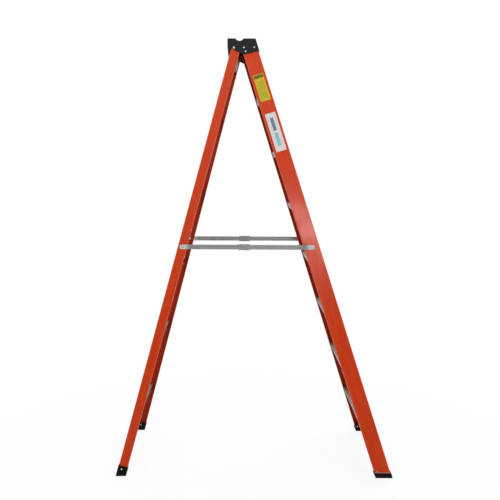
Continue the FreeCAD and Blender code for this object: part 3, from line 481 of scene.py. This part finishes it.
class LADDER_OT_cap(bpy.types.Operator):
    """Charcoal moulded plastic on the top cap."""
    bl_idname = "ladder.cap"
    bl_label = "Top cap"

    def execute(self, context):
        dress(cap_plastic(), "top_cap")
        return {"FINISHED"}


class LADDER_OT_treads(bpy.types.Operator):
    """Extruded aluminium on the treads and the rear braces."""
    bl_idname = "ladder.treads"
    bl_label = "Treads and braces"

    def execute(self, context):
        steps = [name for name in matching("step_") if "rivet" not in name]
        dress(extrusion("tread_aluminium", True), *steps)
        dress(extrusion("brace_aluminium", False), *matching("rear_brace_"))
        return {"FINISHED"}


class LADDER_OT_spreaders(bpy.types.Operator):
    """Zinc plating on the spreader bars and their spacers."""
    bl_idname = "ladder.spreaders"
    bl_label = "Spreaders"

    def execute(self, context):
        bars = [name for name in NODES if "middle_pin" in name
                or "spreader" in name and "pin_" not in name]
        dress(plated_steel(), *bars)
        return {"FINISHED"}


class LADDER_OT_fasteners(bpy.types.Operator):
    """Bright metal on every rivet and pin, except the spreaders' middle pins."""
    bl_idname = "ladder.fasteners"
    bl_label = "Rivets and pins"

    def execute(self, context):
        dress(bright_rivet(), *[name for name in NODES if "rivet" in name or "pin_" in name
                                and "middle" not in name])
        return {"FINISHED"}


class LADDER_OT_feet(bpy.types.Operator):
    """Black rubber on the feet and boots."""
    bl_idname = "ladder.feet"
    bl_label = "Feet"

    def execute(self, context):
        dress(foot_rubber(), *matching("front_foot_", "rear_boot_"))
        return {"FINISHED"}


class LADDER_OT_labels(bpy.types.Operator):
    """Plain printed films on the left rail."""
    bl_idname = "ladder.labels"
    bl_label = "Labels"

    def execute(self, context):
        dress(upper_label(), "upper_label")
        dress(lower_label(), "lower_label")
        return {"FINISHED"}


# ---------------------------------------------------------------- stage

def backdrop_material():
    """Pale floor that keeps a soft shadow near the feet and is white further off."""
    look = settings("stage")
    finish = Finish("backdrop", 0.9, specular=0.1)
    finish.shader.inputs["Base Color"].default_value = rgba(look.backdrop)
    paths = finish.add("LightPath").outputs
    seen = finish.math("ADD", paths["Is Camera Ray"], paths["Is Glossy Ray"], clamp=True)
    seen = finish.math("ADD", seen, paths["Is Transmission Ray"], clamp=True)
    reach = finish.add("VectorMath", {0: finish.add("TexCoord").outputs["Object"]},
                       operation="LENGTH").outputs["Value"]
    white = finish.math("MULTIPLY", seen, finish.ramp(reach, SHADOW_FROM, SHADOW_TO, 0.87, 1.0))
    glow = finish.add("Emission", {"Color": (1.0, 1.0, 1.0, 1.0), "Strength": 1.0})
    blend = finish.add("MixShader", {0: white, 1: finish.shader.outputs[0],
                                     2: glow.outputs[0]})
    output = finish.tree.nodes["Material Output"]
    finish.tree.links.new(blend.outputs[0], output.inputs["Surface"])
    return finish.material


def studio_world():
    """White to the camera, reflections and glass, and a plain fill to everything else."""
    world = bpy.data.worlds.new("studio")
    bpy.context.scene.world = world
    world.use_nodes = True
    tree = world.node_tree
    background = tree.nodes["Background"]
    background.inputs["Color"].default_value = (1.0, 1.0, 1.0, 1.0)
    paths = tree.nodes.new("ShaderNodeLightPath").outputs
    both = tree.nodes.new("ShaderNodeMath")
    both.operation = "MAXIMUM"
    tree.links.new(paths["Is Camera Ray"], both.inputs[0])
    tree.links.new(paths["Is Glossy Ray"], both.inputs[1])
    either = tree.nodes.new("ShaderNodeMath")
    either.operation = "MAXIMUM"
    tree.links.new(both.outputs[0], either.inputs[0])
    tree.links.new(paths["Is Transmission Ray"], either.inputs[1])
    strength = tree.nodes.new("ShaderNodeMapRange")
    strength.inputs["To Min"].default_value = WORLD_FILL
    strength.inputs["To Max"].default_value = 1.0
    tree.links.new(either.outputs[0], strength.inputs["Value"])
    tree.links.new(strength.outputs[0], background.inputs["Strength"])


def softbox(name, place, target, size, power):
    """Area light at a place, facing a target."""
    bpy.ops.object.light_add(type="AREA", location=place)
    lamp = bpy.context.object
    lamp.name = name
    lamp.data.shape = "RECTANGLE"
    lamp.data.size, lamp.data.size_y = size
    lamp.data.energy = power
    lamp.rotation_euler = (Vector(target) - Vector(place)).to_track_quat("-Z", "Y").to_euler()


class LADDER_OT_stage(bpy.types.Operator):
    """Floor, soft studio light and the camera."""
    bl_idname = "ladder.stage"
    bl_label = "Stage"

    def execute(self, context):
        look = settings("stage")
        context.scene.view_settings.view_transform = "Standard"
        studio_world()
        bpy.ops.object.select_all(action="DESELECT")
        bpy.ops.mesh.primitive_circle_add(vertices=96, radius=FLOOR_RADIUS, fill_type="NGON",
                                          location=(0.0, 0.0, -FLOOR_DROP))
        floor = context.object
        floor.name = "floor"
        bpy.ops.object.transform_apply(location=True)
        floor.data.materials.append(backdrop_material())
        for name, (place, target, size, power) in LAMPS.items():
            softbox(name, place, target, size, power)
        bpy.ops.object.camera_add()
        camera = context.object
        camera.name = "camera"
        camera.data.lens = look.focal_length
        turn = (Matrix.Rotation(radians(EYE_YAW), 4, "Z")
                @ Matrix.Rotation(pi / 2 - radians(EYE_PITCH), 4, "X")
                @ Matrix.Rotation(radians(EYE_ROLL), 4, "Z"))
        eye = Matrix.Translation((EYE_OFFSET, -look.eye_distance, look.eye_height))
        camera.matrix_world = eye @ turn
        context.scene.camera = camera
        return {"FINISHED"}


# ---------------------------------------------------------------- panel and registration

PIECES = [LADDER_OT_rails, LADDER_OT_cap, LADDER_OT_treads, LADDER_OT_spreaders,
          LADDER_OT_fasteners, LADDER_OT_feet, LADDER_OT_labels, LADDER_OT_stage]


class LADDER_PT_panel(bpy.types.Panel):
    """Lists the ladder's pieces and their settings."""
    bl_idname = "LADDER_PT_panel"
    bl_label = "Step Ladder"
    bl_space_type = "VIEW_3D"
    bl_region_type = "UI"
    bl_category = "Ladder"

    def draw(self, context):
        for piece in PIECES:
            self.layout.operator(piece.bl_idname)
        for name, group in SETTINGS.items():
            box = self.layout.box()
            box.label(text=name.title())
            for field in group.__annotations__:
                box.prop(settings(name), field)


def register():
    for group in (*SETTINGS.values(), *PIECES, LADDER_PT_panel):
        bpy.utils.register_class(group)
    for name, group in SETTINGS.items():
        setattr(bpy.types.Scene, f"ladder_{name}", PointerProperty(type=group))


def unregister():
    for name in SETTINGS:
        delattr(bpy.types.Scene, f"ladder_{name}")
    for group in (LADDER_PT_panel, *reversed(PIECES), *SETTINGS.values()):
        bpy.utils.unregister_class(group)


def main():
    register()
    for piece in PIECES:
        section, action = piece.bl_idname.split(".")
        getattr(getattr(bpy.ops, section), action)()


if __name__ == "__main__":
    main()
